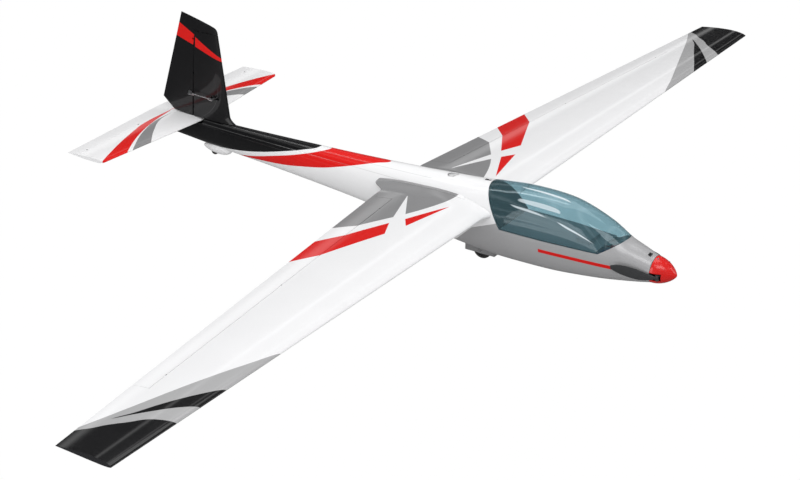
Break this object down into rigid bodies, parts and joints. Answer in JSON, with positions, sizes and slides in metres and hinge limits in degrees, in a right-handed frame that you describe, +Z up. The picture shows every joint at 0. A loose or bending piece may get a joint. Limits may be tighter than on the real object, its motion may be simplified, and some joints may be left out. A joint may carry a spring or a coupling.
{
  "type": "rc sailplane",
  "caption": "Electric radio-controlled sailplane with a slender tapered wing, conventional tail, tinted bubble canopy and folding propeller.",
  "frame": {"origin": "on the ground under the middle of the main wheel, on the centre plane", "axes": "+Z up, -Y towards the nose, +Y towards the tail, +X towards the left wing tip"},
  "size_m": [2.4, 1.2944, 0.3835],
  "materials": {
    "white_shell": "gloss",
    "white_skin": "gloss",
    "black_skin": "gloss",
    "gray_skin": "satin metallic",
    "canopy_glass": "clear",
    "dark_plastic": "matt",
    "nylon": "matt",
    "white_nylon": "satin",
    "steel": "brushed",
    "carbon": "carbon tube, satin",
    "plywood": "sanded",
    "battery_wrap": "shrink wrap",
    "strap": "woven",
    "controller_wrap": "shrink wrap",
    "receiver_case": "satin",
    "servo_case": "satin",
    "spinner_red": "gloss",
    "blade_gray": "satin",
    "rubber": "matt",
    "aluminium": "machined",
    "copper": "enamelled copper wire",
    "can_black": "anodised"
  },
  "bodies": {
    "airframe": {"fuselage_left": "white_shell", "fuselage_right": "white_shell", "firewall": "plywood", "equipment_tray": "plywood", "cooling_duct": "dark_plastic", "battery": "battery_wrap", "battery_strap": "strap", "speed_controller": "controller_wrap", "receiver": "receiver_case", "wing_left": "white_skin", "wing_right": "white_skin", "wing_fairing_left": "gray_skin", "wing_fairing_right": "gray_skin", "wing_joiner_tube": "carbon", "wing_spars": "carbon", "alignment_pins": "carbon", "joiner_clamp": "plywood", "hinge_lugs": "nylon", "hinge_pins": "steel", "aileron_servos": "servo_case", "fin": "black_skin", "stabilizer": "white_skin", "rudder_servo": "servo_case", "elevator_servo": "servo_case", "latch_guide": "dark_plastic", "main_wheel_pod": "gray_skin", "main_axle": "steel", "tail_wheel_pod": "white_shell", "tail_axle": "steel", "motor_mount": "aluminium", "motor_stator": "copper", "motor_screws": "steel"},
    "aileron_left": {"aileron_left": "white_skin"},
    "aileron_right": {"aileron_right": "white_skin"},
    "aileron_arm_left": {"aileron_arm_left": "white_nylon"},
    "aileron_arm_right": {"aileron_arm_right": "white_nylon"},
    "aileron_pushrod_left": {"aileron_pushrod_left": "steel"},
    "aileron_pushrod_right": {"aileron_pushrod_right": "steel"},
    "rudder": {"rudder": "black_skin"},
    "rudder_arm": {"rudder_arm": "aluminium"},
    "rudder_pushrod": {"rudder_pushrod": "steel"},
    "elevator": {"elevator": "white_skin"},
    "elevator_arm": {"elevator_arm": "white_nylon"},
    "elevator_pushrod": {"elevator_pushrod": "steel"},
    "canopy": {"canopy_glass": "canopy_glass", "canopy_deck": "dark_plastic", "canopy_bulkhead": "dark_plastic"},
    "canopy_latch": {"canopy_latch": "dark_plastic"},
    "wing_lock_screw": {"wing_lock_screw": "dark_plastic"},
    "main_wheel": {"main_wheel_hub": "nylon", "main_wheel_tyre": "rubber"},
    "tail_wheel": {"tail_wheel": "rubber"},
    "propeller": {"motor_can": "can_black", "motor_shaft": "steel", "propeller_hub": "blade_gray", "spinner": "spinner_red", "spinner_screws": "steel", "blade_pins": "steel"},
    "blade_left": {"propeller_blade_left": "blade_gray"},
    "blade_right": {"propeller_blade_right": "blade_gray"}
  },
  "joints": [
    {"name": "aileron_left_tilt", "type": "hinge", "parent": "airframe", "child": "aileron_left", "pos_m": [0.45855, 0.11971, 0.13384], "axis": [0.9959, -0.0908, -0.0024], "range_deg": [-25, 25]},
    {"name": "aileron_right_tilt", "type": "hinge", "parent": "airframe", "child": "aileron_right", "pos_m": [-0.45855, 0.11971, 0.13384], "axis": [0.9959, 0.0908, 0.0024], "range_deg": [-25, 25]},
    {"name": "elevator_tilt", "type": "hinge", "parent": "airframe", "child": "elevator", "pos_m": [0, 0.817, 0.142], "axis": [1, 0, 0], "range_deg": [-22, 22]},
    {"name": "rudder_turn", "type": "hinge", "parent": "airframe", "child": "rudder", "pos_m": [0, 0.74277, 0.20397], "axis": [0, 0.0346, -0.9994], "range_deg": [-30, 30]},
    {"name": "propeller_spin", "type": "hinge", "parent": "airframe", "child": "propeller", "pos_m": [0, -0.391, 0.0835], "axis": [0, -0.9979, -0.0645], "continuous": true},
    {"name": "blade_left_fold", "type": "hinge", "parent": "propeller", "child": "blade_left", "pos_m": [0.02445, -0.4083, 0.08759], "axis": [0.2079, 0.0631, -0.9761], "range_deg": [0, 70]},
    {"name": "blade_right_fold", "type": "hinge", "parent": "propeller", "child": "blade_right", "pos_m": [-0.02445, -0.40763, 0.07722], "axis": [-0.2079, -0.0631, 0.9761], "range_deg": [0, 70]},
    {"name": "canopy_lift", "type": "hinge", "parent": "airframe", "child": "canopy", "pos_m": [0, -0.331, 0.1324], "axis": [1, 0, 0], "range_deg": [0, 40]},
    {"name": "canopy_latch_slide", "type": "slide", "parent": "airframe", "child": "canopy_latch", "axis": [0, -1, 0], "range_m": [0, 0.008]},
    {"name": "wing_lock_screw_turn", "type": "hinge", "parent": "airframe", "child": "wing_lock_screw", "pos_m": [0, 0.074, 0.159], "axis": [0, 0, 1], "continuous": true},
    {"name": "main_wheel_spin", "type": "hinge", "parent": "airframe", "child": "main_wheel", "pos_m": [0, 0, 0.021], "axis": [1, 0, 0], "continuous": true},
    {"name": "tail_wheel_spin", "type": "hinge", "parent": "airframe", "child": "tail_wheel", "pos_m": [0, 0.693, 0.074], "axis": [1, 0, 0], "continuous": true},
    {"name": "aileron_arm_left_turn", "type": "hinge", "parent": "airframe", "child": "aileron_arm_left", "pos_m": [0.45256, 0.05399, 0.13384], "axis": [0.9959, -0.0908, -0.0024], "range_deg": [-25.5, 25.5]},
    {"name": "aileron_arm_right_turn", "type": "hinge", "parent": "airframe", "child": "aileron_arm_right", "pos_m": [-0.45256, 0.05399, 0.13384], "axis": [0.9959, 0.0908, 0.0024], "range_deg": [-25.5, 25.5]},
    {"name": "elevator_arm_turn", "type": "hinge", "parent": "airframe", "child": "elevator_arm", "pos_m": [0.0056, 0.667, 0.11], "axis": [1, 0, 0], "range_deg": [-22.5, 22.5]},
    {"name": "rudder_arm_turn", "type": "hinge", "parent": "airframe", "child": "rudder_arm", "pos_m": [0, 0.6838, 0.20193], "axis": [0, 0.0346, -0.9994], "range_deg": [-30.5, 30.5]},
    {"name": "aileron_pushrod_left_slide", "type": "slide", "parent": "airframe", "child": "aileron_pushrod_left", "axis": [0.0908, 0.9959, 0], "range_m": [-0.00718, 0.00718]},
    {"name": "aileron_pushrod_right_slide", "type": "slide", "parent": "airframe", "child": "aileron_pushrod_right", "axis": [-0.0908, 0.9959, 0], "range_m": [-0.00718, 0.00718]},
    {"name": "elevator_pushrod_slide", "type": "slide", "parent": "airframe", "child": "elevator_pushrod", "axis": [0, 1, 0], "range_m": [-0.00634, 0.00634]},
    {"name": "rudder_pushrod_slide", "type": "slide", "parent": "airframe", "child": "rudder_pushrod", "axis": [0, 0.9994, 0.0346], "range_m": [-0.00858, 0.00858]}
  ],
  "couplings": [
    {"joint": "aileron_arm_left_turn", "follows": "aileron_left_tilt", "ratio": 1},
    {"joint": "aileron_arm_right_turn", "follows": "aileron_right_tilt", "ratio": 1},
    {"joint": "elevator_arm_turn", "follows": "elevator_tilt", "ratio": -1},
    {"joint": "rudder_arm_turn", "follows": "rudder_turn", "ratio": 1},
    {"joint": "aileron_pushrod_left_slide", "follows": "aileron_left_tilt", "m_per_rad": 0.016},
    {"joint": "aileron_pushrod_right_slide", "follows": "aileron_right_tilt", "m_per_rad": 0.016},
    {"joint": "elevator_pushrod_slide", "follows": "elevator_tilt", "m_per_rad": 0.016},
    {"joint": "rudder_pushrod_slide", "follows": "rudder_turn", "m_per_rad": 0.016}
  ]
}
